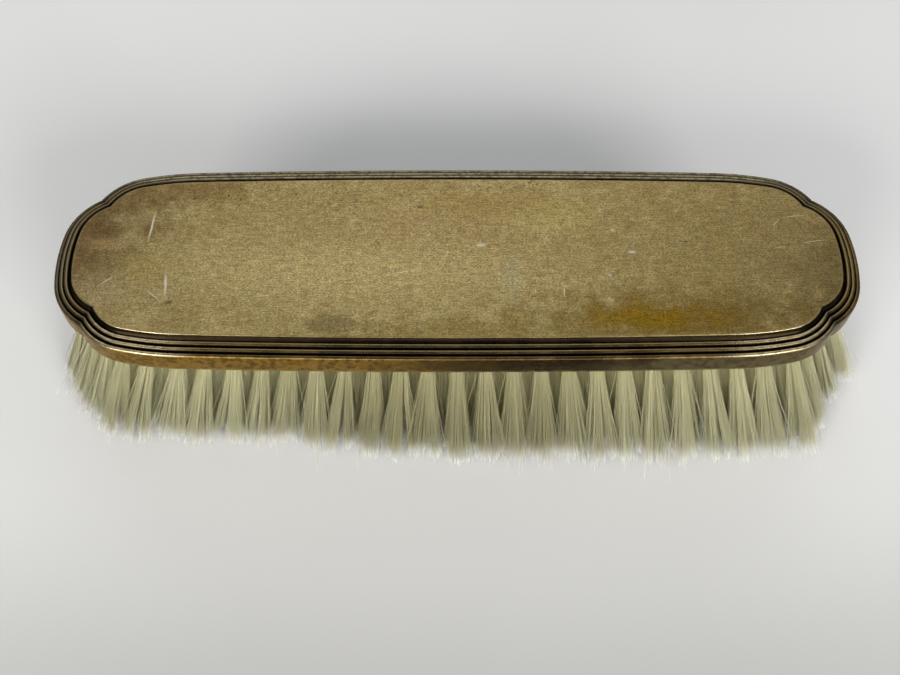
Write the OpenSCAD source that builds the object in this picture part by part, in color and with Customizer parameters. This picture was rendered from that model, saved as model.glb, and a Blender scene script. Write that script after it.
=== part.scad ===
// Vanity hairbrush: stamped metal back with a reeded border, bored bristle board
// and nine rows of hand drawn bristle tufts. It stands on its bristle tips, back up.
// X runs along the brush, Z is up, and the origin is on the ground under its centre.

/* [Back] */
// Height of the flat back above the surface that the bristles stand on
brush_h = 40; // [36:0.5:46]
// Half length of the flat field, from the centre to the end of the lobe
end_half = 74.8; // [72:0.1:78]
// Half width of the flat field at the middle of the brush
side_half = 18.5; // [18:0.1:20]
// Thickness of the stamped sheet
sheet_t = 0.6; // [0.5:0.05:0.7]
// Overall depth of the metal back, from the field to the rolled lip
shell_depth = 7; // [6.5:0.1:8]

/* [Outline] */
// Radius of the long sides
side_r = 2000; // [1800:50:2200]
// Radius where a side starts to draw in towards the shoulder
quarter_r = 60; // [50:1:70]
// Radius of the shoulder and of the lobe, on each side of the notch
corner_r = 8.6; // [8.2:0.1:9]
// Radius of the end of the brush
end_r = 32; // [30:1:34]

/* [Reeded border] */
// Radius of each round reed
reed_r = 0.5; // [0.4:0.05:0.52]
// Distance between neighbouring reeds
reed_pitch = 1.05; // [1.05:0.05:1.15]
// Distance from the field edge to the first reed
reed_first = 1.3; // [1.2:0.05:1.4]
// Drop from the field to the centre of the first reed
reed_sink = 1.2; // [1.1:0.05:1.25]
// Drop from one reed to the next
reed_step = 0.5; // [0.4:0.05:0.5]

/* [Bristles] */
// Distance between the tufts of one row, at the board
tuft_pitch = 5.33; // [5.3:0.01:5.8]
// Distance between neighbouring rows, at the board
row_pitch = 4.6; // [4.5:0.05:4.7]
// Diameter of a tuft where it leaves the board
tuft_root_d = 2.8; // [2.4:0.1:3]
// Diameter of a tuft at its tip
tuft_tip_d = 5.2; // [4.4:0.1:5.3]
// Outward spread of the tips along the brush, per millimetre from the centre
fan_x = 0.155; // [0.14:0.005:0.2]
// Outward spread of the tips across the brush, per millimetre from the centre
fan_y = 0.25; // [0.2:0.01:0.28]

/* [Hidden] */
// Angles turned by the outline, measured from the long side and from the end
side_turn = 1.5;
quarter_turn = 12;
end_turn = 9.4;
ROWS = 9;
REEDS = 3;
ARC_FN = 96;
SIDE_STEPS = 3;
QUARTER_STEPS = 4;
SHOULDER_STEPS = 8;
LOBE_STEPS = 10;
END_STEPS = 3;
REED_STEPS = 5;

// Widths, levels and angles of the metal back
border_w = reed_first + (REEDS - 1) * reed_pitch + reed_r;
shell_z = brush_h - shell_depth;
sheet_z = brush_h - sheet_t;
wall_in = border_w - sheet_t;
lip_turn = 0.6;
lip_in = wall_in - lip_turn;
lip_bevel = 0.4;
plate_lap = 0.5;
groove_w = 0.35;
groove_drop = 0.7;
reed_open = 20;
reed_base_z = brush_h - reed_sink - (REEDS - 1) * reed_step;

// Levels and clearances of what is inside
board_z = shell_z + sheet_t;
board_t = 3.2;
board_top = board_z + board_t;
board_gap = 0.1;
former_low_t = 0.3;
former_t = 1.3;
former_step_in = 2.5;
pitch_in = 0.3;

// Wires, their channels in the board, and the tufts
wire_d = 0.5;
wire_sides = 8;
channel_w = 1.2;
channel_d = 0.6;
channel_z = board_top - channel_d;
hole_edge = 0.6;
root_flare = 0.12;
cut = 1;
big = 400;

// The outline is two chains of tangent arcs that meet in a sharp notch
function unit(a) = [cos(a), sin(a)];
a_side = 90 - side_turn;
a_quarter = 90 - quarter_turn;
c_side = [0, side_half - side_r];
c_quarter = c_side + (side_r - quarter_r) * unit(a_side);
c_shoulder = c_quarter + (quarter_r - corner_r) * unit(a_quarter);
c_end = [end_half - end_r, 0];
c_lobe = c_end + (end_r - corner_r) * unit(end_turn);

// Notch corner of the outline moved outward by d: where the last two arcs cross
notch_span = norm(c_lobe - c_shoulder);
notch_dir = (c_lobe - c_shoulder) / notch_span;
notch_out = [-notch_dir[1], notch_dir[0]];
function notch_h(d) = sqrt(pow(corner_r + d, 2) - pow(notch_span / 2, 2));
function notch(d) = (c_shoulder + c_lobe) / 2 + notch_h(d) * notch_out;
function bearing(p, c) = atan2(p[1] - c[1], p[0] - c[0]);

function arc(c, r, a, b, n) = [for (i = [0 : n - 1]) c + r * unit(a + (b - a) * i / n)];
function quadrant(d) = concat(
    arc(c_side, side_r + d, 90, a_side, SIDE_STEPS),
    arc(c_quarter, quarter_r + d, a_side, a_quarter, QUARTER_STEPS),
    arc(c_shoulder, corner_r + d, a_quarter, bearing(notch(d), c_shoulder), SHOULDER_STEPS),
    arc(c_lobe, corner_r + d, bearing(notch(d), c_lobe), end_turn, LOBE_STEPS),
    arc(c_end, end_r + d, end_turn, 0, END_STEPS),
    [[end_half + d, 0]]);
function flip(p, sx, sy) = [for (q = p) [q[0] * sx, q[1] * sy]];
function back(p) = [for (i = [len(p) - 1 : -1 : 0]) p[i]];
function inner_run(p, a, b) = [for (i = [a : len(p) - b]) p[i]];
function outline(d) = concat(
    quadrant(d),
    inner_run(back(flip(quadrant(d), 1, -1)), 1, 1),
    inner_run(flip(quadrant(d), -1, -1), 1, 1),
    inner_run(back(flip(quadrant(d), -1, 1)), 1, 2));

// Half width of the field at x, and how far a row can run at y
x_quarter = c_side[0] + side_r * cos(a_side);
x_shoulder = c_quarter[0] + quarter_r * cos(a_quarter);
function side_y(x) =
    abs(x) < x_quarter ? c_side[1] + sqrt(pow(side_r, 2) - x * x) :
    c_quarter[1] + sqrt(pow(quarter_r, 2) - pow(min(abs(x), x_shoulder) - c_quarter[0], 2));
function in_arc(p, c, r) = norm(p - c) <= r + hole_edge;
function in_field(x, y) =
    abs(x) <= x_shoulder ||
    in_arc([abs(x), abs(y)], c_shoulder, corner_r) ||
    (abs(x) < c_lobe[0] && abs(y) < c_lobe[1]) ||
    (abs(y) >= c_lobe[1] && in_arc([abs(x), abs(y)], c_lobe, corner_r)) ||
    (abs(y) < c_lobe[1] && in_arc([abs(x), abs(y)], c_end, end_r));

// Roots of the tufts of one row, bowed with the long sides and staggered row by row
mid_row = (ROWS - 1) / 2;
per_side = ceil(end_half / tuft_pitch);
function row_y(row, x) = (row - mid_row) * row_pitch * side_y(x) / side_half;
function row_shift(row) = row % 2 == 0 ? 0 : tuft_pitch / 2;
function roots(row) = [
    for (i = [-per_side : per_side])
    let (x = i * tuft_pitch + row_shift(row))
    if (abs(x) + tuft_root_d / 2 < end_half - hole_edge && in_field(x, row_y(row, x)))
    [x, row_y(row, x)]];

// Section of the sheet from the edge of the field, over the reeds, down the skirt, round
// the rolled lip and back up inside, as distance out from the field edge and height
function reed_centre(i) = [reed_first + i * reed_pitch, brush_h - reed_sink - i * reed_step];
function reed_point(i, k) =
    reed_centre(i) + reed_r * unit(180 - reed_open - (180 - 2 * reed_open) * k / REED_STEPS);
section = concat(
    [[0, brush_h], [groove_w, brush_h - groove_drop]],
    [for (i = [0 : REEDS - 1], k = [0 : REED_STEPS]) reed_point(i, k)],
    [
        [border_w, reed_base_z],
        [border_w, shell_z + lip_bevel],
        [border_w - lip_bevel, shell_z],
        [lip_in, shell_z],
        [lip_in, board_z],
        [wall_in, board_z],
        [wall_in, reed_base_z - sheet_t],
        [groove_w - sheet_t / 2, sheet_z - groove_drop],
        [-sheet_t / 2, sheet_z]
    ]);

// The section swept round the outline. Each ring of points is the outline moved out by one
// distance, and the two caps are strips from side to side, because the outline is symmetric
module pressed_sheet() {
    rings = [for (s = section) [for (p = outline(s[0])) [p[0], p[1], s[1]]]];
    points = [for (ring = rings, p = ring) p];
    n = len(rings[0]);
    half = n / 2;
    last = (len(rings) - 1) * n;
    walls = [for (j = [0 : len(rings) - 2], i = [0 : n - 1])
        [(j + 1) * n + i, (j + 1) * n + (i + 1) % n, j * n + (i + 1) % n, j * n + i]];
    starts = concat([for (i = [0 : half / 2 - 1]) i], [for (i = [half : half * 3 / 2 - 1]) i]);
    strips = [for (i = starts) [i, i + 1, (n + half - i - 1) % n, (n + half - i) % n]];
    caps = [for (q = strips) q[1] == q[2] ? [q[0], q[1], q[3]] : q];
    under = [for (q = caps) [for (k = [len(q) - 1 : -1 : 0]) q[k] + last]];
    polyhedron(points = points, faces = concat(walls, caps, under), convexity = 6);
}

module back_shell() {
    color("silver")
    union() {
        pressed_sheet();
        translate([0, 0, sheet_z])
            linear_extrude(sheet_t)
                polygon(outline(-plate_lap));
    }
}

module pitch_fill() {
    color("saddlebrown")
    translate([0, 0, board_top + former_t])
        linear_extrude(sheet_z - board_top - former_t)
            polygon(outline(-pitch_in));
}

module wood_former() {
    color("burlywood")
    translate([0, 0, board_top])
    union() {
        linear_extrude(former_low_t)
            polygon(outline(wall_in - board_gap));
        linear_extrude(former_t)
            polygon(outline(wall_in - former_step_in));
    }
}

// Channel along the back of the board that holds the wire of one row
module wire_channel(row) {
    p = roots(row);
    half = channel_w / 2;
    near = [for (q = p) [q[0], q[1] - half]];
    far = [for (q = p) [q[0], q[1] + half]];
    ends = [p[0] - [half, 0], p[len(p) - 1] + [half, 0]];
    translate([0, 0, channel_z])
        linear_extrude(channel_d + cut)
            polygon(concat(
                [[ends[0][0], ends[0][1] - half]], near,
                [[ends[1][0], ends[1][1] - half]], [[ends[1][0], ends[1][1] + half]],
                back(far), [[ends[0][0], ends[0][1] + half]]));
}

module tuft_board() {
    color("peru")
    difference() {
        translate([0, 0, board_z])
            linear_extrude(board_t)
                polygon(outline(wall_in - board_gap));
        for (row = [0 : ROWS - 1]) {
            wire_channel(row);
            for (p = roots(row))
                translate([p[0], p[1], board_z - cut])
                    cylinder(d = tuft_root_d, h = board_t + 2 * cut, $fn = ARC_FN);
        }
    }
}

// One tuft: a plug in its hole and a cone that leans outward down to the tips
module tuft(p) {
    lean = [p[0] * fan_x, p[1] * fan_y];
    tip = [p[0] + lean[0], p[1] + lean[1], 0];
    axis = [-lean[0], -lean[1], board_z];
    long = norm(axis);
    root_r = tuft_root_d / 2 + root_flare;
    grow = (tuft_tip_d / 2 - root_r) / long;
    union() {
        translate([p[0], p[1], board_z])
            cylinder(d = tuft_root_d, h = channel_z - board_z, $fn = ARC_FN);
        intersection() {
            translate(tip)
                rotate([0, acos(board_z / long), atan2(axis[1], axis[0])])
                    translate([0, 0, -2 * cut])
                        cylinder(
                            r1 = tuft_tip_d / 2 + grow * 2 * cut,
                            r2 = root_r - grow * 2 * cut,
                            h = long + 4 * cut,
                            $fn = ARC_FN);
            translate([-big / 2, -big / 2, 0])
                cube([big, big, board_z]);
        }
    }
}

module tuft_row(row) {
    color(row % 2 == 0 ? "wheat" : "beige")
    for (p = roots(row))
        tuft(p);
}

// Wire of one row: a tube swept from the first tuft of the row to the last
module drawing_wire(row) {
    p = roots(row);
    r = wire_d / 2;
    n = wire_sides;
    tube = [for (q = p, k = [0 : n - 1])
        [q[0], q[1] + r * cos(360 * (k + 0.5) / n), channel_z + r + r * sin(360 * (k + 0.5) / n)]];
    sides = [for (i = [0 : len(p) - 2], k = [0 : n - 1])
        [i * n + k, i * n + (k + 1) % n, (i + 1) * n + (k + 1) % n, (i + 1) * n + k]];
    first = [for (k = [n - 1 : -1 : 0]) k];
    last = [for (k = [0 : n - 1]) (len(p) - 1) * n + k];
    color("goldenrod")
    polyhedron(points = tube, faces = concat(sides, [first, last]));
}

back_shell();
pitch_fill();
wood_former();
tuft_board();
tuft_row(0);  // row_1_tufts
tuft_row(1);  // row_2_tufts
tuft_row(2);  // row_3_tufts
tuft_row(3);  // row_4_tufts
tuft_row(4);  // row_5_tufts
tuft_row(5);  // row_6_tufts
tuft_row(6);  // row_7_tufts
tuft_row(7);  // row_8_tufts
tuft_row(8);  // row_9_tufts
drawing_wire(0);  // row_1_wire
drawing_wire(1);  // row_2_wire
drawing_wire(2);  // row_3_wire
drawing_wire(3);  // row_4_wire
drawing_wire(4);  // row_5_wire
drawing_wire(5);  // row_6_wire
drawing_wire(6);  // row_7_wire
drawing_wire(7);  // row_8_wire
drawing_wire(8);  // row_9_wire
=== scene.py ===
import math

import bmesh
import bpy
import numpy as np
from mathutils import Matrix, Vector


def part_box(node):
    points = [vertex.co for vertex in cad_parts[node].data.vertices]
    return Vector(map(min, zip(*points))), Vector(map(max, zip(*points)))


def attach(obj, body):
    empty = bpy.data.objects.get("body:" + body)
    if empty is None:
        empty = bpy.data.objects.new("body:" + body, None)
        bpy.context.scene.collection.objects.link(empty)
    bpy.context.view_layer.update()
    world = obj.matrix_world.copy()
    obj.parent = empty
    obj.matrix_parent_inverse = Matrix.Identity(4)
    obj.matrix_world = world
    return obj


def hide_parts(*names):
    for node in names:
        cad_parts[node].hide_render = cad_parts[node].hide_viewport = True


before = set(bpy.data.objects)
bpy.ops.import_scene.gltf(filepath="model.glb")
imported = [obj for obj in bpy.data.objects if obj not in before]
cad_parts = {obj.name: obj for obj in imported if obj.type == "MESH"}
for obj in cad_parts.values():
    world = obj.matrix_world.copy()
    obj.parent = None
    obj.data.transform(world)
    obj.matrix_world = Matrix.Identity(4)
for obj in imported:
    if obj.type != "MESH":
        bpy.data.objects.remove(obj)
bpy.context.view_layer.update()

MM = 0.001
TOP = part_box("back_shell")[1].z / MM
BOARD_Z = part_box("tuft_board")[0].z / MM
SHELL_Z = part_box("back_shell")[0].z / MM
rng = np.random.default_rng(1907)


# ---------------------------------------------------------------- outline of the back
# The same chain of tangent arcs as the CAD back, sampled more finely. Millimetres.
SIDE_HALF, END_HALF = 18.5, 74.8
SIDE_R, QUARTER_R, CORNER_R, END_R = 2000.0, 60.0, 8.6, 32.0
A_SIDE, A_QUARTER, A_END = (math.radians(a) for a in (88.5, 78.0, 9.4))
SIDE_STEPS, QUARTER_STEPS, SHOULDER_STEPS, LOBE_STEPS, END_STEPS = 44, 12, 18, 20, 10


def unit(a):
    return np.array([math.cos(a), math.sin(a)])


C_SIDE = np.array([0.0, SIDE_HALF - SIDE_R])
C_QUARTER = C_SIDE + (SIDE_R - QUARTER_R) * unit(A_SIDE)
C_SHOULDER = C_QUARTER + (QUARTER_R - CORNER_R) * unit(A_QUARTER)
C_END = np.array([END_HALF - END_R, 0.0])
C_LOBE = C_END + (END_R - CORNER_R) * unit(A_END)
SPAN = C_LOBE - C_SHOULDER
HALF_SPAN = np.linalg.norm(SPAN) / 2
ACROSS = np.array([-SPAN[1], SPAN[0]]) / np.linalg.norm(SPAN)


def notch(d):
    """The sharp corner where the shoulder and the lobe meet, on the outline moved out by d."""
    rise = math.sqrt((CORNER_R + d) ** 2 - HALF_SPAN ** 2)
    return (C_SHOULDER + C_LOBE) / 2 + rise * ACROSS


def bearing(p, c):
    return math.atan2(p[1] - c[1], p[0] - c[0])


def arc(c, r, a, b, n):
    return [c + r * unit(a + (b - a) * i / n) for i in range(n)]


def quadrant(d):
    """The outline moved out by d, from the middle of the far side round to the end."""
    v = notch(d)
    return (
        arc(C_SIDE, SIDE_R + d, math.pi / 2, A_SIDE, SIDE_STEPS)
        + arc(C_QUARTER, QUARTER_R + d, A_SIDE, A_QUARTER, QUARTER_STEPS)
        + arc(C_SHOULDER, CORNER_R + d, A_QUARTER, bearing(v, C_SHOULDER), SHOULDER_STEPS)
        + arc(C_LOBE, CORNER_R + d, bearing(v, C_LOBE), A_END, LOBE_STEPS)
        + arc(C_END, END_R + d, A_END, 0.0, END_STEPS)
        + [np.array([END_HALF + d, 0.0])]
    )


def outline(d):
    q = np.array(quadrant(d))
    return np.vstack([
        q,
        (q * [1, -1])[::-1][1:],
        (q * [-1, -1])[1:],
        (q * [-1, 1])[::-1][1:-1],
    ])


# ---------------------------------------------------------------- meshes
def make_mesh(name, verts, faces, material, smooth=True, attributes=None):
    mesh = bpy.data.meshes.new(name)
    mesh.from_pydata((np.asarray(verts) * MM).tolist(), [], faces)
    for key, values in (attributes or {}).items():
        a = mesh.attributes.new(key, "FLOAT", "POINT")
        a.data.foreach_set("value", np.asarray(values, np.float32))
    mesh.materials.append(material)
    if smooth:
        mesh.shade_smooth()
    mesh.update()
    obj = bpy.data.objects.new(name, mesh)
    bpy.context.scene.collection.objects.link(obj)
    return obj


# ---------------------------------------------------------------- node helpers
def srgb(r, g, b):
    def lin(c):
        c /= 255.0
        return c / 12.92 if c <= 0.04045 else ((c + 0.055) / 1.055) ** 2.4
    return (lin(r), lin(g), lin(b), 1.0)


class Nodes:
    """Short names for building one material's node tree."""

    def __init__(self, name):
        self.mat = bpy.data.materials.new(name)
        self.mat.use_nodes = True
        self.tree = self.mat.node_tree
        self.shader = self.tree.nodes["Principled BSDF"]
        coord = self.tree.nodes.new("ShaderNodeTexCoord")
        self.mm = self.scaled(coord.outputs["Object"], (1000, 1000, 1000))
        split = self.tree.nodes.new("ShaderNodeSeparateXYZ")
        self.tree.links.new(self.mm, split.inputs[0])
        self.x, self.y = split.outputs[:2]

    def put(self, socket, value):
        if isinstance(value, bpy.types.NodeSocket):
            self.tree.links.new(value, socket)
        else:
            socket.default_value = value

    def scaled(self, vector, by):
        n = self.tree.nodes.new("ShaderNodeVectorMath")
        n.operation = "MULTIPLY"
        self.put(n.inputs[0], vector)
        n.inputs[1].default_value = by
        return n.outputs[0]

    def math(self, op, a, b=0.0):
        n = self.tree.nodes.new("ShaderNodeMath")
        n.operation = op
        self.put(n.inputs[0], a)
        self.put(n.inputs[1], b)
        return n.outputs[0]

    def plus(self, a, b):
        return self.math("ADD", a, b)

    def minus(self, a, b):
        return self.math("SUBTRACT", a, b)

    def times(self, a, b):
        return self.math("MULTIPLY", a, b)

    def size(self, a):
        return self.math("ABSOLUTE", a)

    def noise(self, vector, scale, detail=4.0, rough=0.55, seed=0.0):
        n = self.tree.nodes.new("ShaderNodeTexNoise")
        n.noise_dimensions = "4D"
        self.put(n.inputs["Vector"], vector)
        n.inputs["Scale"].default_value = scale
        n.inputs["Detail"].default_value = detail
        n.inputs["Roughness"].default_value = rough
        n.inputs["W"].default_value = seed
        return n.outputs["Fac"]

    def ramp(self, value, low, high, out_low=0.0, out_high=1.0):
        n = self.tree.nodes.new("ShaderNodeMapRange")
        n.interpolation_type = "SMOOTHSTEP"
        self.put(n.inputs["Value"], value)
        n.inputs["From Min"].default_value = low
        n.inputs["From Max"].default_value = high
        n.inputs["To Min"].default_value = out_low
        n.inputs["To Max"].default_value = out_high
        return n.outputs["Result"]

    def mix(self, fac, a, b, blend="MIX"):
        n = self.tree.nodes.new("ShaderNodeMix")
        n.data_type = "RGBA"
        n.blend_type = blend
        self.put(n.inputs["Factor"], fac)
        self.put(n.inputs["A"], a)
        self.put(n.inputs["B"], b)
        return n.outputs["Result"]

    def attribute(self, name):
        n = self.tree.nodes.new("ShaderNodeAttribute")
        n.attribute_name = name
        return n.outputs["Fac"]

    def blob(self, cx, cy, rx, ry, wobble, soft=0.9):
        """1 inside an ellipse on the plan, fading to 0 outside, its edge broken by the wobble."""
        dx = self.math("DIVIDE", self.minus(self.x, cx), rx)
        dy = self.math("DIVIDE", self.minus(self.y, cy), ry)
        r = self.math("SQRT", self.plus(self.times(dx, dx), self.times(dy, dy)))
        r = self.plus(r, self.times(self.minus(wobble, 0.5), 2.2))
        return self.ramp(r, 1.0 - soft, 1.0 + soft * 0.5, 1.0, 0.0)

    def stroke(self, ax, ay, bx, by, width, waver):
        """1 along a thin scratch on the plan, thinning out towards its ends."""
        length = math.hypot(bx - ax, by - ay)
        ux, uy = (bx - ax) / length, (by - ay) / length
        px = self.minus(self.x, ax)
        py = self.minus(self.y, ay)
        along = self.plus(self.times(px, ux), self.times(py, uy))
        side = self.plus(self.times(px, -uy), self.times(py, ux))
        side = self.plus(side, self.times(self.minus(waver, 0.5), 0.5))
        line = self.ramp(self.size(side), width * 0.2, width, 1.0, 0.0)
        fade = length * 0.45
        thin_in = self.ramp(along, 0.0, fade)
        thin_out = self.ramp(along, length - fade, length, 1.0, 0.0)
        return self.times(line, self.times(thin_in, thin_out))

    def strongest(self, masks):
        top = masks[0]
        for mask in masks[1:]:
            top = self.math("MAXIMUM", top, mask)
        return top

    def grey(self, value):
        n = self.tree.nodes.new("ShaderNodeCombineColor")
        for socket in n.inputs[:3]:
            self.put(socket, value)
        return n.outputs[0]

    def bump(self, height, distance, strength):
        n = self.tree.nodes.new("ShaderNodeBump")
        n.inputs["Strength"].default_value = strength
        n.inputs["Distance"].default_value = distance
        self.put(n.inputs["Height"], height)
        return n.outputs["Normal"]


# ---------------------------------------------------------------- silver
# What the silver is like at each point of the back, from 0 to 1, kept as mesh attributes
FACTS = ("hollow", "crest", "border", "skirt", "pinch")
# Clouds of tarnish on the field: (centre x, y, half width, half height), colour, strength
STAINS = [
    ((-77, 8, 19, 21), srgb(82, 60, 34), 0.82),
    ((-58, 17, 18, 5), srgb(100, 78, 42), 0.65),
    ((-68.3, 2.6, 5, 1.4), srgb(140, 118, 78), 0.7),
    ((-60.5, -2.8, 5, 4), srgb(130, 113, 62), 0.6),
    ((-68, -9, 8, 4), srgb(146, 130, 92), 0.6),
    ((-24, -4, 36, 7), srgb(160, 143, 98), 0.6),
    ((-12, 7, 16, 3), srgb(138, 116, 82), 0.4),
    ((6, 12, 18, 4), srgb(130, 110, 64), 0.7),
    ((20, 9, 9, 4), srgb(150, 136, 82), 0.5),
    ((62, 2, 36, 26), srgb(121, 104, 64), 0.85),
    ((78, -8, 14, 16), srgb(88, 75, 44), 0.8),
    ((42, -15, 32, 7), srgb(94, 76, 32), 0.85),
    ((37, -14.4, 13, 3.6), srgb(112, 86, 4), 0.85),
    ((4, -17.5, 30, 3.4), srgb(114, 98, 54), 0.65),
    ((-23.6, -15.6, 5, 2.2), srgb(86, 74, 50), 0.5),
    ((10.6, -5.5, 2.4, 5), srgb(144, 137, 104), 0.5),
]
# Clusters of dark pitting, most of them near the far edge: centre x, y, half width, half height
PITTED = [(-46, 15, 18, 3.4), (-24, 14.5, 5, 4), (10, 17, 18, 1.8), (-22, -16, 8, 2)]
# Scratches down to paler metal: start x, y, end x, y, half width
SCRATCHES = [
    (-60.0, 11.6, -60.8, 2.1, 0.3), (-56.4, -3.3, -55.7, -10.6, 0.32), (-60.3, -7.4, -56.0, -11.0, 0.12),
    (-69.6, -7.6, -65.5, -4.4, 0.12), (61.7, 1.5, 64.9, 2.0, 0.08), (66.7, 2.6, 73.4, 3.8, 0.09),
    (62.4, 6.6, 64.3, 8.9, 0.08), (64.3, 8.9, 70.0, 9.6, 0.08), (-12.4, -4.4, -8.4, -3.6, 0.14),
    (-31.0, -3.0, -30.2, -12.0, 0.06), (20.6, -7.0, 20.4, -10.0, 0.14), (-1.6, 1.4, -2.4, -1.2, 0.1),
]
# Small bright dings and dark pits: centre x, y, half width, half height
DINGS = [(4.7, 2.3, 1.0, 0.4), (34.2, 0.7, 0.8, 0.4), (30.6, 5.9, 0.3, 0.3), (-0.6, -0.7, 0.22, 0.22),
         (29.5, -4.7, 0.35, 0.3), (-8.6, -3.7, 0.3, 0.16), (15.0, -8.3, 0.12, 0.5)]
PITS = [(-54.9, -10.8, 0.8, 0.5), (14.5, -9.5, 0.4, 0.35), (44.6, 3.2, 1.3, 0.22), (-7.4, 11.6, 0.7, 0.3)]


def silver_field(n, mottle, waver):
    """Colour of the flat field, and the height of its grain and scratches."""
    patch = n.noise(n.mm, 0.55, 5.0, 0.6, 3.0)
    colour = n.mix(n.ramp(mottle, 0.34, 0.66), srgb(128, 111, 70), srgb(151, 135, 91))
    colour = n.mix(n.ramp(patch, 0.5, 0.72, 0.0, 0.45), colour, srgb(122, 102, 60))
    for place, stain, strength in STAINS:
        mask = n.times(n.blob(*place, wobble=mottle), strength)
        colour = n.mix(mask, colour, stain)

    # sandy grain, lengthwise brushing and clustered pitting
    sand = n.noise(n.scaled(n.mm, (2.3, 3.6, 1.0)), 1.0, 2.0, 0.8, 5.0)
    clump = n.noise(n.scaled(n.mm, (0.6, 1.0, 1.0)), 1.0, 6.0, 0.75, 8.0)
    streak = n.noise(n.scaled(n.mm, (0.22, 5.0, 1.0)), 1.0, 4.0, 0.7, 4.0)
    shade = n.times(n.ramp(sand, 0.34, 0.66, 0.78, 1.8), n.ramp(streak, 0.36, 0.64, 0.84, 1.16))
    shade = n.times(shade, n.ramp(clump, 0.34, 0.66, 0.78, 1.22))
    colour = n.mix(1.0, colour, n.grey(shade), "MULTIPLY")
    pitted = n.strongest([n.blob(*place, wobble=mottle) for place in PITTED])
    pitted = n.plus(n.times(pitted, 0.75), 0.12)
    specks = n.ramp(n.noise(n.mm, 1.5, 3.0, 0.6, 9.0), 0.55, 0.68)
    colour = n.mix(n.times(specks, pitted), colour, srgb(82, 62, 36))

    # scratches, with finer hairlines both ways, then dings and pits
    cuts = n.strongest([n.stroke(*ends, waver=waver) for ends in SCRATCHES])
    hair = n.noise(n.scaled(n.mm, (0.10, 4.0, 1.0)), 1.0, 1.0, 0.4, 14.0)
    hair = n.times(n.ramp(hair, 0.69, 0.75), 0.3)
    cross = n.noise(n.scaled(n.mm, (4.5, 0.16, 1.0)), 1.0, 1.0, 0.4, 15.0)
    cross = n.times(n.ramp(cross, 0.72, 0.78), 0.3)
    colour = n.mix(n.strongest([hair, cross]), colour, srgb(186, 178, 150))
    colour = n.mix(n.times(cuts, 0.85), colour, srgb(216, 210, 188))
    dings = n.strongest([n.blob(*place, wobble=sand, soft=0.6) for place in DINGS])
    colour = n.mix(n.times(dings, 0.55), colour, srgb(214, 210, 194))
    pits = n.strongest([n.blob(*place, wobble=sand, soft=0.6) for place in PITS])
    colour = n.mix(n.times(pits, 0.7), colour, srgb(64, 58, 50))
    height = n.plus(n.times(sand, 0.6), n.times(streak, 0.4))
    height = n.minus(height, n.times(n.math("MAXIMUM", cuts, pits), 0.8))
    return colour, height


def silver_material():
    n = Nodes("tarnished_silver")
    mottle = n.noise(n.mm, 0.2, 6.0, 0.66, 2.0)
    coarse = n.noise(n.mm, 0.9, 4.0, 0.6, 7.0)
    waver = n.noise(n.mm, 0.35, 2.0, 0.5, 6.0)
    colour, height = silver_field(n, mottle, waver)
    hollow, crest, border, skirt, pinch = (n.attribute(fact) for fact in FACTS)

    # the reeds are darker and browner than the field, and greyer on the far side and at the left end
    reed = n.mix(n.ramp(mottle, 0.35, 0.65), srgb(74, 60, 36), srgb(110, 91, 56))
    cool = n.math("MAXIMUM", n.ramp(n.y, 6.0, 20.0), n.ramp(n.x, -70.0, -78.0))
    reed = n.mix(n.times(cool, 0.8), reed, srgb(86, 81, 70))
    reed = n.mix(n.ramp(coarse, 0.4, 0.62, 0.0, 0.5), reed, srgb(56, 42, 20))
    colour = n.mix(border, colour, reed)

    # painted reflection on the skirt's brown tarnish: gold brown on the left, dark in the middle, grey
    # brown on the right
    drift = n.times(n.minus(mottle, 0.5), 50)
    right = n.ramp(n.plus(n.x, drift), -30, 16)
    far_right = n.ramp(n.plus(n.x, drift), 22, 46)
    side = n.mix(right, srgb(146, 114, 50), srgb(24, 17, 7))
    side = n.mix(far_right, side, srgb(98, 88, 62))
    side = n.mix(n.ramp(coarse, 0.44, 0.62, 0.0, 0.7), side, srgb(62, 44, 20))
    colour = n.mix(skirt, colour, side)

    # dark sulphide in the hollows and the notches; worn metal and a painted highlight on the crests, the
    # field edge and the lip
    ends = n.ramp(n.size(n.x), 66.0, 78.0)
    depth = n.minus(0.96, n.times(ends, 0.42))
    colour = n.mix(n.times(hollow, depth), colour, srgb(20, 15, 9))
    colour = n.mix(n.times(pinch, 0.8), colour, srgb(34, 34, 38))
    worn = n.times(crest, n.ramp(coarse, 0.3, 0.62, 0.35, 0.9))
    colour = n.mix(worn, colour, srgb(196, 176, 122))
    # painted highlight on the reeds at the two front corners and along the middle of the far side
    from_corner = n.size(n.minus(n.size(n.x), 61))
    corner_highlight = n.times(n.ramp(from_corner, 4, 13, 1.0, 0.0), n.ramp(n.y, -16, -13, 1.0, 0.0))
    corner_highlight = n.times(corner_highlight, n.ramp(coarse, 0.4, 0.56, 0.3, 0.6))
    far_side_highlight = n.times(n.ramp(n.y, 18, 19.5), n.ramp(coarse, 0.4, 0.56, 0.04, 0.26))
    open_metal = n.times(n.ramp(hollow, 0.0, 0.6, 1.0, 0.0), n.minus(border, skirt))
    painted_highlight = n.times(n.math("MAXIMUM", corner_highlight, far_side_highlight), n.math("MAXIMUM", open_metal, 0.0))
    colour = n.mix(painted_highlight, colour, srgb(226, 212, 172))

    rough = n.plus(n.ramp(mottle, 0.3, 0.7, 0.36, 0.48), n.times(coarse, 0.08))
    rough = n.minus(rough, n.times(border, 0.18))
    n.put(n.shader.inputs["Base Color"], colour)
    n.shader.inputs["Specular Tint"].default_value = srgb(230, 222, 208)
    n.put(n.shader.inputs["Roughness"], rough)
    n.put(n.shader.inputs["Metallic"], n.ramp(border, 0.0, 1.0, 0.82, 0.97))
    n.put(n.shader.inputs["Normal"], n.bump(height, 0.00002, 0.7))
    return n.mat


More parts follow.
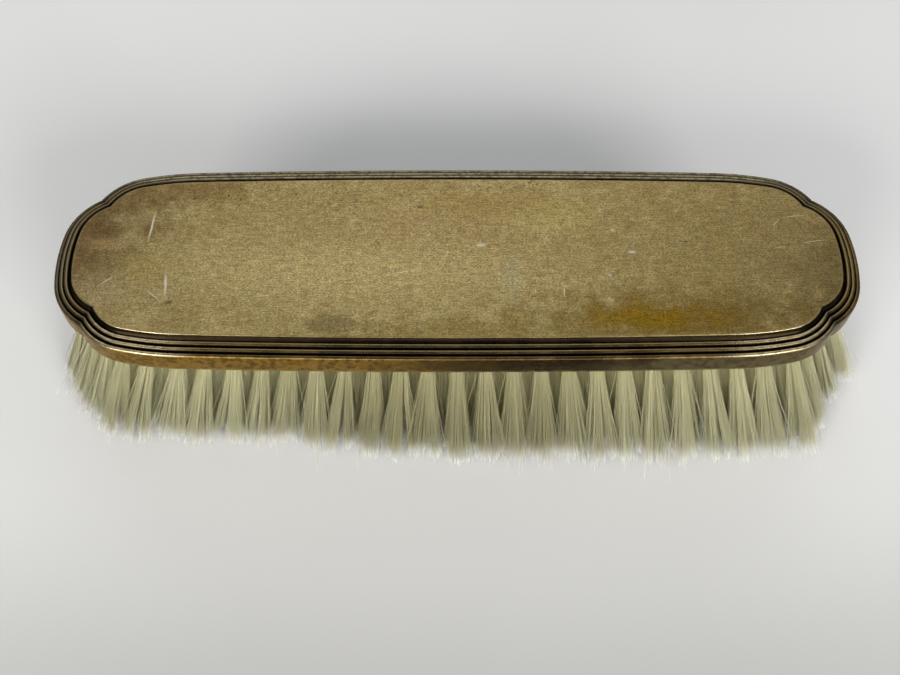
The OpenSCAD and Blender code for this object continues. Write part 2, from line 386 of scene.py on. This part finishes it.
# ---------------------------------------------------------------- silver back
# Section of the reeded border. Millimetres, with distances measured outward from the field edge.
REEDS, REED_R, REED_PITCH, REED_FIRST, REED_SINK, REED_STEP = 3, 0.5, 1.05, 1.3, 1.2, 0.5
BORDER = REED_FIRST + (REEDS - 1) * REED_PITCH + REED_R
REED_BASE = TOP - REED_SINK - (REEDS - 1) * REED_STEP
# Degrees round a reed where its section starts and ends. The last reed runs on into the skirt
REED_START, REED_END, LAST_REED_END = 172, 8, 0
REED_POINTS = 13
# How much worn metal and painted highlight each reed's crest carries, the lift below which tarnish
# gathers, and where the crest starts
REED_WEAR_AND_SHINE, HOLLOW_LIFT, CREST_LIFT = (0.4, 0.4, 0.06), 0.9, 0.95
# From the field edge into the first groove: distance out, drop below the field, hollow, crest, border. Its
# crest values paint a highlight along the field edge.
FIELD_EDGE = [
    (-0.5, 0.0, 0, 0, 0), (-0.22, 0.0, 0, 0.15, 0.1), (-0.08, 0.01, 0, 0.5, 0.5),
    (0.03, 0.05, 0.1, 0.45, 1), (0.1, 0.16, 0.6, 0, 1), (0.18, 0.4, 1, 0, 1),
    (0.32, 0.68, 1, 0, 1), (0.55, 0.83, 1, 0, 1),
]
# Down the skirt: drop below the field, and swell beyond the border
SKIRT_SIDE = [(2.6, 0.03), (3.6, 0.05), (4.6, 0.05), (5.5, 0.02), (5.9, 0.0)]
# Round the inturned lip: distance in from the border, height above the lip, hollow, crest
LIP = [
    (-0.05, 0.8, 0, 0.3), (-0.02, 0.45, 0, 0.25), (0.16, 0.08, 0.4, 0),
    (0.45, 0.0, 0.6, 0), (1.15, 0.0, 0.6, 0), (1.25, 0.1, 0.8, 0),
]
# Thickness of the sheet, and the depth and place of the first groove on its inner side
SHEET, GROOVE, GROOVE_IN = 0.6, 0.7, 0.05
WALL_IN = BORDER - SHEET
# Rings of points on the field, closer together towards its edge, and its unevenness
FIELD_RINGS, RING_POWER, WAVE = 26, 0.9, 0.02
# How far the dark pinch reaches from the corner of a notch
PINCH_R = 0.9


def border_section():
    """(distance out, height, hollow, crest, border, skirt) from the field edge round to the inside."""
    rows = [(d, TOP - drop, hollow, crest, border, 0) for d, drop, hollow, crest, border in FIELD_EDGE]
    for k in range(REEDS):
        last = k == REEDS - 1
        end = LAST_REED_END if last else REED_END
        for i in range(REED_POINTS):
            a = REED_START - (REED_START - end) * i / (REED_POINTS - 1)
            lift = math.sin(math.radians(a))
            out = REED_FIRST + REED_PITCH * k + REED_R * math.cos(math.radians(a))
            height = TOP - REED_SINK - REED_STEP * k + REED_R * lift
            hollow = 0.0 if last and a < 90 else min(1.0, max(0.0, (HOLLOW_LIFT - lift) / 0.3))
            crest = max(0.0, (lift - CREST_LIFT) / (1 - CREST_LIFT)) * REED_WEAR_AND_SHINE[k]
            skirt = (60 - a) / 60 if last and a < 60 else 0.0
            rows.append((out, height, hollow, crest, 1, skirt))
    rows += [(BORDER + swell, TOP - drop, 0, 0, 1, 1) for drop, swell in SKIRT_SIDE]
    rows += [(BORDER - inward, SHELL_Z + rise, hollow, crest, 1, 1) for inward, rise, hollow, crest in LIP]
    rows.append((rows[-1][0], BOARD_Z, 0.9, 0, 1, 1))
    inside = [(WALL_IN, BOARD_Z), (WALL_IN, REED_BASE - SHEET), (GROOVE_IN, TOP - SHEET - GROOVE),
              (-SHEET / 2, TOP - SHEET)]
    return rows + [(d, z, 1, 0, 1, 1) for d, z in inside]


def wave(x, y):
    """Faint unevenness of the pressed field, in millimetres."""
    broad = np.sin(x * 0.11 + 1.3) * np.cos(y * 0.17 + 0.4)
    short = np.sin(x * 0.23 - y * 0.19 + 2.0)
    return WAVE * (broad + 0.6 * short)


def silver_back(material):
    """The field as rings out from the middle line, then the border's section swept round the outline."""
    rings, facts = [], []
    edge = outline(FIELD_EDGE[0][0])
    n = len(edge)
    spine_half = END_HALF - SIDE_HALF
    spine = np.stack([np.clip(edge[:, 0], -spine_half, spine_half), np.zeros(n)], 1)
    for i in range(FIELD_RINGS):
        t = (i / FIELD_RINGS) ** RING_POWER
        p = spine + (edge - spine) * t
        z = TOP + wave(p[:, 0], p[:, 1]) * (1 - t ** 6)
        rings.append(np.column_stack([p, z]))
        facts.append(np.zeros((n, len(FACTS))))
    for d, z, *f in border_section():
        p = outline(d)
        corner = notch(d)
        reach = np.hypot(np.abs(p[:, 0]) - corner[0], np.abs(p[:, 1]) - corner[1])
        pinch = np.exp(-(reach / PINCH_R) ** 2) * f[2]
        rings.append(np.column_stack([p, np.full(n, z)]))
        facts.append(np.column_stack([np.tile(f, (n, 1)), pinch]))
    rings.append(np.column_stack([spine, np.full(n, rings[-1][0, 2])]))
    facts.append(facts[-1])
    faces = []
    for j in range(len(rings) - 1):
        a, b = j * n, (j + 1) * n
        faces += [(a + i, a + (i + 1) % n, b + (i + 1) % n, b + i) for i in range(n)]
    obj = make_mesh("silver_back", np.vstack(rings), faces, material,
                    attributes=dict(zip(FACTS, np.vstack(facts).T)))
    bm = bmesh.new()
    bm.from_mesh(obj.data)
    bmesh.ops.remove_doubles(bm, verts=bm.verts, dist=1e-7)
    bmesh.ops.recalc_face_normals(bm, faces=bm.faces)
    bm.to_mesh(obj.data)
    bm.free()
    obj.data.shade_smooth()
    obj.data.set_sharp_from_angle(angle=math.radians(50))
    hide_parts("back_shell")
    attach(obj, "root")


# ---------------------------------------------------------------- bristles
def bristle_material():
    n = Nodes("natural_bristle")
    along = n.attribute("along")
    each = n.attribute("each")
    base = n.mix(each, srgb(208, 205, 172), srgb(232, 230, 204))
    # painted shade: duller in the middle of the brush; painted light: paler at the root, where the back
    # shades it; white at the cut tip, partly a painted highlight
    painted_middle_shade = n.ramp(n.size(n.x), 8, 50, 0.5, 0.0)
    base = n.mix(painted_middle_shade, base, srgb(180, 174, 134))
    colour = n.mix(n.ramp(along, 0.0, 0.4, 0.5, 0.0), base, srgb(216, 212, 180))
    colour = n.mix(n.ramp(along, 0.84, 1.0, 0.0, 1.0), colour, srgb(255, 255, 252))
    n.put(n.shader.inputs["Base Color"], colour)
    n.put(n.shader.inputs["Roughness"], n.ramp(each, 0.0, 1.0, 0.42, 0.56))
    n.shader.inputs["Transmission Weight"].default_value = 0.7
    # a painted glow, standing in for light passed on from bristle to bristle deep between the tufts
    n.shader.inputs["Emission Color"].default_value = srgb(192, 186, 142)
    n.put(n.shader.inputs["Emission Strength"], n.ramp(along, 0.0, 0.85, 0.1, 0.01))
    n.shader.inputs["IOR"].default_value = 1.2
    streak = n.noise(n.scaled(n.mm, (4, 4, 0.25)), 1.0, 2.0, 0.5, 12.0)
    n.put(n.shader.inputs["Normal"], n.bump(streak, 0.00001, 0.4))
    return n.mat


# Spread of the tips per millimetre from the centre
FAN_X, FAN_Y = 0.16, 0.25
# Bristles in a tuft, the clumps they gather in, and the points along and round each one
BRISTLES, CLUMPS, LEVELS, SIDES = 250, 9, 5, 3
# Radius of a tuft at its root and tip, and how a bristle tapers from level to level
ROOT_R, TIP_R = 1.02, 3.8
TAPER = (1.0, 1.0, 1.0, 1.0, 0.8)
# Share of stray bristles, and how far the roots sink into the board
STRAY, ROOT_SINK = 0.05, 0.4


def tuft_roots(node):
    """Centres of a row's tufts, from the rims of their plugs in the CAD node."""
    co = np.array([v.co[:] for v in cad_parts[node].data.vertices]) / MM
    rim = co[co[:, 2] > co[:, 2].max() - 0.05]
    rim = rim[np.argsort(rim[:, 0])]
    cuts = np.where(np.diff(rim[:, 0]) > 1.2)[0] + 1
    return np.array([(g.min(0)[:2] + g.max(0)[:2]) / 2 for g in np.split(rim, cuts)])


def disc(count, inner=0.0):
    """Random points spread evenly over a disc of radius 1, or over its outer part."""
    angle = rng.uniform(0, 2 * math.pi, count)
    reach = np.sqrt(rng.uniform(inner, 1, count))
    return np.stack([np.cos(angle) * reach, np.sin(angle) * reach], 1)


def tuft_axes(x, y):
    """Centre lines of one tuft's bristles, with their radius and tone."""
    # the front rows on the left are worn in, those on the right splay out
    front = np.clip((-6 - y) / 10, 0, 1)
    worn = np.clip((-14 - x) / 16, 0, 1) * front
    splay = np.clip((x + 14) / 20, 0, 1) * front
    lean_x = x * FAN_X + rng.normal(0, 0.4)
    lean_y = y * FAN_Y * (1 - 0.6 * worn) - 1.1 * splay + rng.normal(0, 0.3)
    lean = np.array([lean_x, lean_y])
    start = disc(BRISTLES)
    centres = disc(CLUMPS, 0.05)
    gap = ((start[:, None] - centres[None]) ** 2).sum(2) + rng.normal(0, 0.08, (BRISTLES, CLUMPS))
    clump = np.argmin(gap, 1)
    tip = 0.6 * start + 0.4 * centres[clump] + rng.normal(0, 0.1, (BRISTLES, 2))
    stray = rng.uniform(0, 1, BRISTLES) < STRAY
    tip[stray] *= rng.uniform(1.2, 2.1, (stray.sum(), 1))
    bend = rng.normal(0, 0.2, (BRISTLES, 2)) + rng.normal(0, 0.25, 2)
    ragged = np.abs(rng.normal(0, 0.6, BRISTLES)) + 0.12 + rng.uniform(0, 1.6, CLUMPS)[clump]
    tone = 0.5 + 0.16 * rng.normal(0, 1, BRISTLES) + 0.2 * rng.normal(0, 1, CLUMPS)[clump]
    top = BOARD_Z + ROOT_SINK
    axes = np.empty((BRISTLES, LEVELS, 3))
    for k, s in enumerate(np.linspace(0.0, 1.0, LEVELS)):
        spread = start * ROOT_R * (1 - s ** 1.3) + tip * TIP_R * s ** 1.3
        axes[:, k, :2] = [x, y] + lean * s + spread + bend * (s * (1 - s) * 2.0)
        axes[:, k, 2] = top + (ragged - top) * s
    return axes, rng.uniform(0.065, 0.09, BRISTLES), np.clip(tone, 0, 1)


def bristle_row(row, material):
    turn = np.arange(SIDES) * 2 * math.pi / SIDES
    ring = np.stack([np.cos(turn), np.sin(turn), np.zeros(SIDES)], 1)
    verts, each = [], []
    for x, y in tuft_roots(f"row_{row}_tufts"):
        axes, radius, tone = tuft_axes(x, y)
        width = radius[:, None] * np.array(TAPER)
        verts.append((axes[:, :, None, :] + ring * width[:, :, None, None]).reshape(-1, 3))
        each.append(np.repeat(tone, LEVELS * SIDES))
    verts = np.vstack(verts)
    count = len(verts) // (LEVELS * SIDES)
    along = np.tile(np.repeat(np.linspace(0.0, 1.0, LEVELS), SIDES), count)
    base = (np.arange(count) * LEVELS * SIDES)[:, None, None]
    ring_start = base + (np.arange(LEVELS - 1) * SIDES)[None, :, None]
    q = np.arange(SIDES)[None, None]
    q2 = (q + 1) % SIDES
    quads = [ring_start + q, ring_start + SIDES + q, ring_start + SIDES + q2, ring_start + q2]
    quads = np.stack(quads, -1).reshape(-1, 4)
    obj = make_mesh(f"bristles_row_{row}", verts, quads.tolist(), material,
                    attributes=dict(along=along, each=np.concatenate(each)))
    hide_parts(f"row_{row}_tufts")
    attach(obj, "root")


# ---------------------------------------------------------------- hidden and underside pieces
def wood_material(name, light, dark, seed):
    n = Nodes(name)
    stretched = n.scaled(n.mm, (0.06, 1.0, 1.0))
    figure = n.noise(stretched, 0.9, 6.0, 0.6, seed)
    pores = n.noise(n.scaled(n.mm, (0.35, 6.0, 6.0)), 1.0, 3.0, 0.6, seed + 1)
    colour = n.mix(n.ramp(figure, 0.35, 0.65), dark, light)
    colour = n.mix(n.ramp(pores, 0.58, 0.7, 0.0, 0.6), colour, dark)
    n.put(n.shader.inputs["Base Color"], colour)
    n.put(n.shader.inputs["Roughness"], n.ramp(pores, 0.3, 0.7, 0.5, 0.72))
    n.put(n.shader.inputs["Normal"], n.bump(pores, 0.00005, 0.6))
    return n.mat


def pitch_material():
    n = Nodes("pitch_cement")
    lump = n.noise(n.mm, 0.6, 5.0, 0.6, 31.0)
    n.put(n.shader.inputs["Base Color"], n.mix(n.ramp(lump, 0.3, 0.7), srgb(34, 24, 18), srgb(66, 46, 32)))
    n.put(n.shader.inputs["Roughness"], n.ramp(lump, 0.3, 0.7, 0.35, 0.7))
    n.put(n.shader.inputs["Normal"], n.bump(lump, 0.0002, 0.5))
    return n.mat


def wire_material():
    n = Nodes("drawn_brass")
    dull = n.noise(n.scaled(n.mm, (0.4, 6, 6)), 1.0, 4.0, 0.6, 41.0)
    colour = n.mix(n.ramp(dull, 0.3, 0.7), srgb(150, 112, 52), srgb(206, 172, 96))
    n.put(n.shader.inputs["Base Color"], colour)
    n.put(n.shader.inputs["Roughness"], n.ramp(dull, 0.3, 0.7, 0.25, 0.5))
    n.shader.inputs["Metallic"].default_value = 1.0
    return n.mat


def paint(node, material):
    """Give a CAD node that is shown as it is a better material."""
    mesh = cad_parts[node].data
    if not mesh.materials:
        mesh.materials.append(material)
    for i in range(len(mesh.materials)):
        mesh.materials[i] = material


silver_back(silver_material())
bristle = bristle_material()
for row in range(1, 10):
    bristle_row(row, bristle)
paint("tuft_board", wood_material("oiled_board", srgb(140, 98, 60), srgb(84, 54, 32), 21.0))
paint("wood_former", wood_material("plain_former", srgb(190, 150, 104), srgb(150, 112, 72), 25.0))
paint("pitch_fill", pitch_material())
brass = wire_material()
for row in range(1, 10):
    paint(f"row_{row}_wire", brass)


# ---------------------------------------------------------------- floor, light, camera
def floor_material():
    n = Nodes("pale_card")
    cloud = n.noise(n.mm, 0.006, 3.0, 0.5, 51.0)
    fibre = n.noise(n.mm, 1.2, 3.0, 0.6, 52.0)
    pale = n.mix(n.ramp(cloud, 0.3, 0.7), srgb(222, 222, 221), srgb(230, 230, 230))
    # painted shadow: a little darker in front of the brush
    front = n.times(n.ramp(n.y, -28, -80, 0.0, 0.7), n.ramp(n.size(n.x), 30, 260, 1.0, 0.0))
    n.put(n.shader.inputs["Base Color"], n.mix(front, pale, srgb(168, 168, 165)))
    n.put(n.shader.inputs["Roughness"], n.ramp(fibre, 0.3, 0.7, 0.6, 0.7))
    n.put(n.shader.inputs["Normal"], n.bump(fibre, 0.00002, 0.4))
    return n.mat


FLOOR_HALF, FLOOR_CELLS = 1500.0, 8


def floor():
    line = np.linspace(-FLOOR_HALF, FLOOR_HALF, FLOOR_CELLS + 1)
    verts = [(x, y, 0.0) for y in line for x in line]
    row = len(line)
    corners = [j * row + i for j in range(FLOOR_CELLS) for i in range(FLOOR_CELLS)]
    faces = [(c, c + 1, c + row + 1, c + row) for c in corners]
    make_mesh("floor", verts, faces, floor_material(), smooth=False)


def area_light(name, place, target, size, power, colour):
    light = bpy.data.lights.new(name, "AREA")
    light.shape = "RECTANGLE"
    light.size, light.size_y = size
    light.energy = power
    light.color = colour
    obj = bpy.data.objects.new(name, light)
    obj.location = place
    obj.rotation_euler = (Vector(target) - Vector(place)).to_track_quat("-Z", "Y").to_euler()
    bpy.context.scene.collection.objects.link(obj)


def studio_world():
    """A soft sky that is brighter overhead and behind the brush than on the camera's side."""
    world = bpy.data.worlds.new("studio")
    world.use_nodes = True
    tree = world.node_tree
    coord = tree.nodes.new("ShaderNodeTexCoord")
    split = tree.nodes.new("ShaderNodeSeparateXYZ")
    level = tree.nodes.new("ShaderNodeMapRange")
    level.inputs["From Min"].default_value = -0.8
    level.inputs["From Max"].default_value = 0.2
    level.inputs["To Min"].default_value = 0.26
    level.inputs["To Max"].default_value = 0.5
    tree.links.new(coord.outputs["Generated"], split.inputs[0])
    tree.links.new(split.outputs["Y"], level.inputs["Value"])
    tree.links.new(level.outputs["Result"], tree.nodes["Background"].inputs["Strength"])
    tree.nodes["Background"].inputs["Color"].default_value = (0.95, 0.97, 1.0, 1.0)
    bpy.context.scene.world = world


floor()
studio_world()
for side, name in ((-1, "left_lamp"), (1, "right_lamp")):
    area_light(name, (0.82 * side, -1.26, 0.9), (0, 0, 0.02), (0.7, 0.5), 14.5, (1.0, 0.98, 0.94))
area_light("low_lamp", (0.0, -1.6, 0.24), (0, 0, 0.02), (1.6, 0.3), 15.0, (1.0, 0.99, 0.96))
area_light("back_lamp", (0.0, 0.7, 0.95), (0, 0, 0.03), (0.9, 0.4), 1.4, (1.0, 0.99, 0.97))

# The photograph's viewpoint in millimetres, and how far it looks down in degrees
EYE, LOOK_DOWN = (-1.39, -123.9, 223.0), 60.08
camera = bpy.data.cameras.new("camera")
camera.sensor_width = 36.0
camera.lens = 45.2
camera.clip_start, camera.clip_end = 0.01, 20.0
eye = bpy.data.objects.new("camera", camera)
eye.location = [v * MM for v in EYE]
eye.rotation_euler = (math.radians(90.0 - LOOK_DOWN), 0.0, 0.0)
bpy.context.scene.collection.objects.link(eye)
bpy.context.scene.camera = eye
bpy.context.scene.view_settings.view_transform = "Standard"
